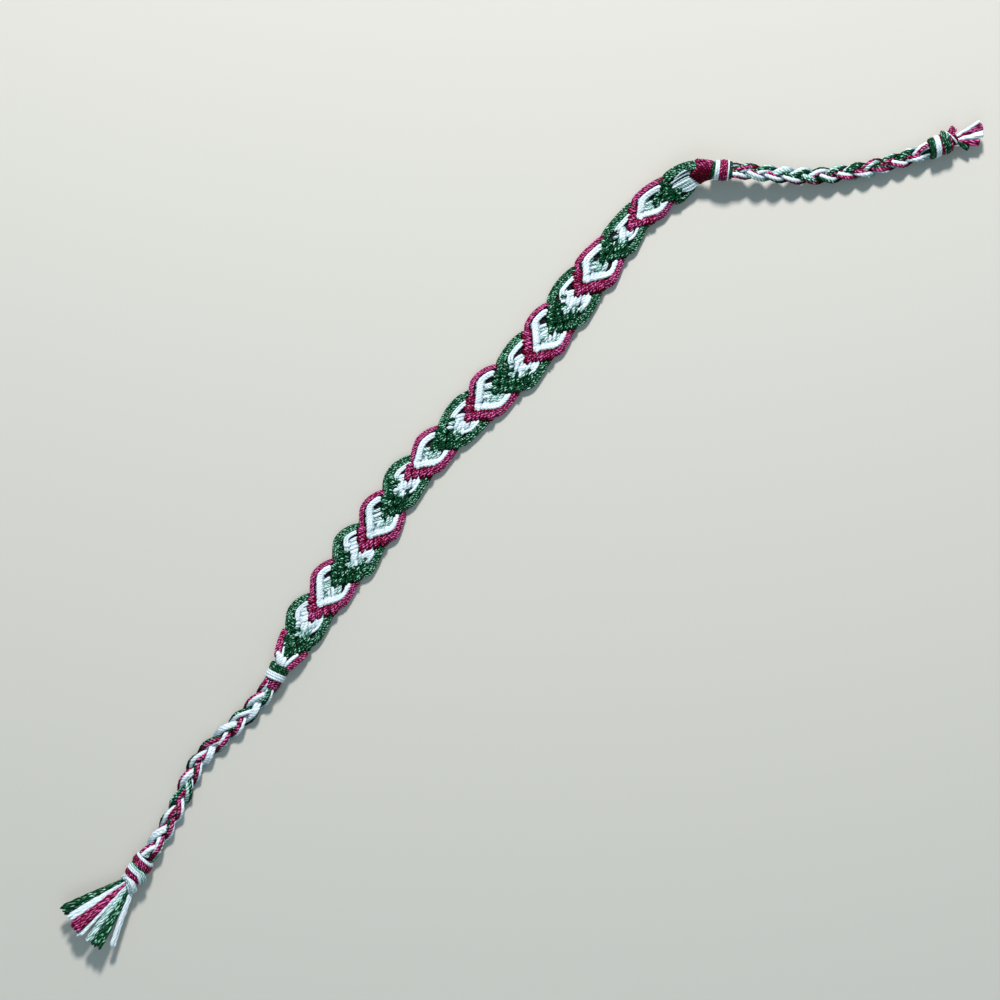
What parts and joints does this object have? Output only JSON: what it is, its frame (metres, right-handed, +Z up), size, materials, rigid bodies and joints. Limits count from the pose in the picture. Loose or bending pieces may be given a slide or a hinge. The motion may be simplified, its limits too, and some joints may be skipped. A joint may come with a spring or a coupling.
{
  "type": "friendship bracelet",
  "caption": "Flat knotted thread band in overlapping leaves, with gathering knots, braided ties, end knots and cut tassels, lying open.",
  "frame": {"origin": "middle of the bracelet's box, on the surface that the band lies on", "axes": "+X along the band towards the end with the short tassel, +Y across the band, +Z up from the surface that it lies on"},
  "size_m": [0.2794, 0.0606, 0.0068],
  "materials": {
    "band_thread": "knotted cotton thread",
    "crimson_thread": "twisted cotton thread",
    "green_thread": "twisted cotton thread",
    "white_thread": "twisted cotton thread"
  },
  "bodies": {
    "root": {"band": "band_thread", "knot_a": "green_thread", "knot_b": "green_thread", "tie_a_strand_1": "white_thread", "tie_a_strand_2": "crimson_thread", "tie_a_strand_3": "green_thread", "tie_b_strand_1": "white_thread", "tie_b_strand_2": "crimson_thread", "tie_b_strand_3": "green_thread", "end_knot_a": "crimson_thread", "end_knot_b": "green_thread", "tassel_a": "crimson_thread", "tassel_b": "crimson_thread"}
  },
  "joints": []
}
